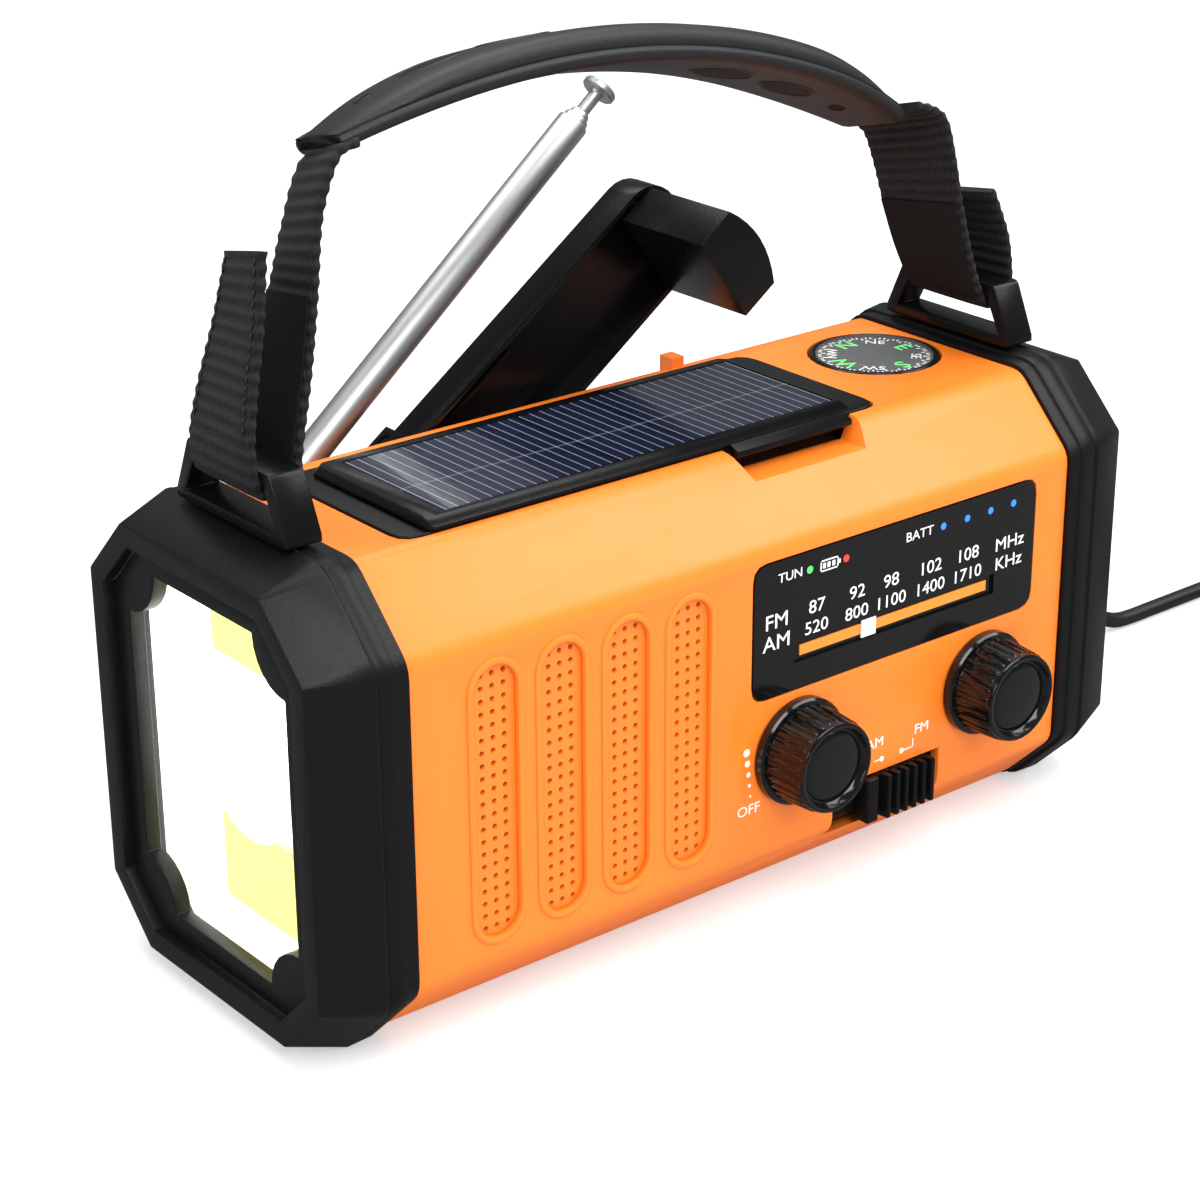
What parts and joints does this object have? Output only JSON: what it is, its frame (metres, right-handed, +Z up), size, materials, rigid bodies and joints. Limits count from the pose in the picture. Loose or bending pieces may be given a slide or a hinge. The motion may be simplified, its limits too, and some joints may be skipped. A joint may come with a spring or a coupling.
{
  "type": "hand crank emergency radio",
  "caption": "Pocket-size emergency radio with dial, speaker slots, solar lid, compass, lamp end, fold-out crank, telescopic antenna and webbing carry handle",
  "frame": {"origin": "centre of the bounding box in plan, on the surface the end caps stand on", "axes": "+X from the lamp end towards the port end, -Y out of the dial face, +Z up through the carry handle"},
  "size_m": [0.3335, 0.0933, 0.1639],
  "materials": {
    "orange_shell": "satin moulded orange plastic",
    "charcoal_shell": "satin dark charcoal plastic",
    "gloss_black": "polished black plastic",
    "grip_rubber": "moulded dark grey rubber",
    "webbing": "woven black webbing",
    "cable_jacket": "matte black cable jacket",
    "bright_steel": "plated steel tube",
    "zinc_steel": "zinc plated pressed steel",
    "brass": "machined brass and copper wire",
    "white_plastic": "white plastic",
    "gear_plastic": "natural acetal plastic",
    "clear": "clear polished plastic",
    "mirror_plastic": "vacuum metallised reflector",
    "phosphor": "yellow phosphor over diodes",
    "board_green": "green circuit board",
    "solar_glass": "dark solar cell under clear film",
    "cell_wrap": "blue shrink wrap",
    "ferrite": "sintered ferrite"
  },
  "bodies": {
    "radio_body": {"front_shell": "orange_shell", "rear_cover": "orange_shell", "left_cap": "charcoal_shell", "right_cap": "charcoal_shell", "lamp_frame": "charcoal_shell", "lamp_lens": "clear", "lamp_board": "white_plastic", "cob_panel_upper": "phosphor", "cob_panel_lower": "phosphor", "lamp_reflector": "mirror_plastic", "speaker_grille": "orange_shell", "speaker_driver": "charcoal_shell", "dial_window": "gloss_black", "volume_pot": "zinc_steel", "tuning_capacitor": "white_plastic", "band_switch_body": "charcoal_shell", "main_board": "board_green", "battery_cell_1": "cell_wrap", "battery_cell_2": "cell_wrap", "battery_cell_3": "cell_wrap", "battery_cell_4": "cell_wrap", "battery_tray": "charcoal_shell", "ferrite_rod": "ferrite", "ferrite_coil": "brass", "generator_body": "zinc_steel", "antenna_socket": "charcoal_shell", "solar_bezel": "charcoal_shell", "compass_cup": "gloss_black", "compass_dome": "clear", "strap_bracket_left": "charcoal_shell", "strap_bracket_right": "charcoal_shell", "strap_left": "webbing", "strap_right": "webbing", "lead_plug": "cable_jacket", "lead_cable": "cable_jacket", "lead_coil": "cable_jacket", "far_plug": "cable_jacket"},
    "volume_control": {"volume_knob": "gloss_black"},
    "tuning_control": {"tuning_knob": "gloss_black"},
    "dial_pointer": {"tuning_pointer": "white_plastic"},
    "band_control": {"band_slider": "gloss_black"},
    "crank_shaft": {"crank_gear": "gear_plastic"},
    "idler": {"idler_gear": "gear_plastic"},
    "rotor": {"rotor_pinion": "brass"},
    "crank_carrier": {"crank_hub": "gloss_black"},
    "crank_lever": {"crank_arm": "gloss_black"},
    "crank_handle": {"crank_grip": "gloss_black"},
    "antenna_root": {"antenna_swivel": "bright_steel"},
    "antenna_stage_1": {"antenna_tube_1": "bright_steel"},
    "antenna_stage_2": {"antenna_tube_2": "bright_steel"},
    "antenna_stage_3": {"antenna_tube_3": "bright_steel"},
    "antenna_stage_4": {"antenna_tube_4": "bright_steel"},
    "lid": {"solar_lid": "gloss_black", "solar_cell": "solar_glass", "reading_lamp_panel": "white_plastic"},
    "compass_needle": {"compass_card": "gloss_black"},
    "lamp_key": {"lamp_button": "grip_rubber"},
    "sos_key": {"sos_button": "grip_rubber"},
    "door": {"port_door": "grip_rubber"},
    "handle": {"handle_grip": "grip_rubber"}
  },
  "joints": [
    {"name": "volume_turn", "type": "hinge", "parent": "radio_body", "child": "volume_control", "pos_m": [0.0079, -0.03625, 0.0329], "axis": [0, -1, 0], "range_deg": [-20, 280]},
    {"name": "tuning_turn", "type": "hinge", "parent": "radio_body", "child": "tuning_control", "pos_m": [0.0559, -0.03625, 0.0325], "axis": [0, -1, 0], "range_deg": [-120, 220]},
    {"name": "pointer_slide", "type": "slide", "parent": "radio_body", "child": "dial_pointer", "axis": [1, 0, 0], "range_m": [-0.01626, 0.02978]},
    {"name": "band_slide", "type": "slide", "parent": "radio_body", "child": "band_control", "axis": [1, 0, 0], "range_m": [-0.0035, 0.0014]},
    {"name": "crank_turn", "type": "hinge", "parent": "radio_body", "child": "crank_shaft", "pos_m": [-0.0405, 0.01875, 0.066], "axis": [0, 1, 0], "continuous": true},
    {"name": "idler_turn", "type": "hinge", "parent": "radio_body", "child": "idler", "pos_m": [-0.0486, 0.01675, 0.05197], "axis": [0, 1, 0], "continuous": true},
    {"name": "rotor_turn", "type": "hinge", "parent": "radio_body", "child": "rotor", "pos_m": [-0.0405, 0.01275, 0.03794], "axis": [0, 1, 0], "continuous": true},
    {"name": "crank_swing", "type": "hinge", "parent": "radio_body", "child": "crank_carrier", "pos_m": [-0.0405, 0.03275, 0.066], "axis": [0, -1, 0], "range_deg": [-3, 14]},
    {"name": "arm_flip", "type": "hinge", "parent": "crank_carrier", "child": "crank_lever", "pos_m": [-0.02756, 0.03895, 0.0754], "axis": [-0.5878, 0, 0.809], "range_deg": [0, 180]},
    {"name": "grip_fold", "type": "hinge", "parent": "crank_lever", "child": "crank_handle", "pos_m": [0.02414, 0.02875, 0.11296], "axis": [-0.5878, 0, 0.809], "range_deg": [-82, 0]},
    {"name": "antenna_swing", "type": "hinge", "parent": "radio_body", "child": "antenna_root", "pos_m": [-0.066, 0.03875, 0.0688], "axis": [0, -1, 0], "range_deg": [-3, 70]},
    {"name": "antenna_tilt", "type": "hinge", "parent": "antenna_root", "child": "antenna_stage_1", "pos_m": [-0.06171, 0.03875, 0.0724], "axis": [-0.6428, 0, 0.766], "range_deg": [0, 75]},
    {"name": "antenna_extend_1", "type": "slide", "parent": "antenna_stage_1", "child": "antenna_stage_2", "axis": [0.766, 0, 0.6428], "range_m": [0, 0.08]},
    {"name": "antenna_extend_2", "type": "slide", "parent": "antenna_stage_2", "child": "antenna_stage_3", "axis": [0.766, 0, 0.6428], "range_m": [0, 0.08]},
    {"name": "antenna_extend_3", "type": "slide", "parent": "antenna_stage_3", "child": "antenna_stage_4", "axis": [0.766, 0, 0.6428], "range_m": [0, 0.08]},
    {"name": "lid_hinge", "type": "hinge", "parent": "radio_body", "child": "lid", "pos_m": [-0.013, 0.02015, 0.0882], "axis": [-1, 0, 0], "range_deg": [0, 12]},
    {"name": "compass_turn", "type": "hinge", "parent": "radio_body", "child": "compass_needle", "pos_m": [0.0626, 0.00755, 0.086], "axis": [0, 0, 1], "continuous": true},
    {"name": "lamp_press", "type": "slide", "parent": "radio_body", "child": "lamp_key", "axis": [1, 0, 0], "range_m": [-0.0012, 0], "stiffness_N_per_m": 500},
    {"name": "sos_press", "type": "slide", "parent": "radio_body", "child": "sos_key", "axis": [1, 0, 0], "range_m": [-0.0012, 0], "stiffness_N_per_m": 500},
    {"name": "door_hinge", "type": "hinge", "parent": "radio_body", "child": "door", "pos_m": [0.0939, 0.01775, 0.0196], "axis": [0, -1, 0], "range_deg": [0, 80]},
    {"name": "handle_drop", "type": "slide", "parent": "radio_body", "child": "handle", "axis": [0, 0, 1], "range_m": [-0.006, 0], "deforming": ["strap_left", "strap_right"]}
  ],
  "couplings": [
    {"joint": "pointer_slide", "follows": "tuning_turn", "m_per_rad": 0.007752},
    {"joint": "idler_turn", "follows": "crank_turn", "ratio": -2},
    {"joint": "rotor_turn", "follows": "crank_turn", "ratio": 7}
  ]
}
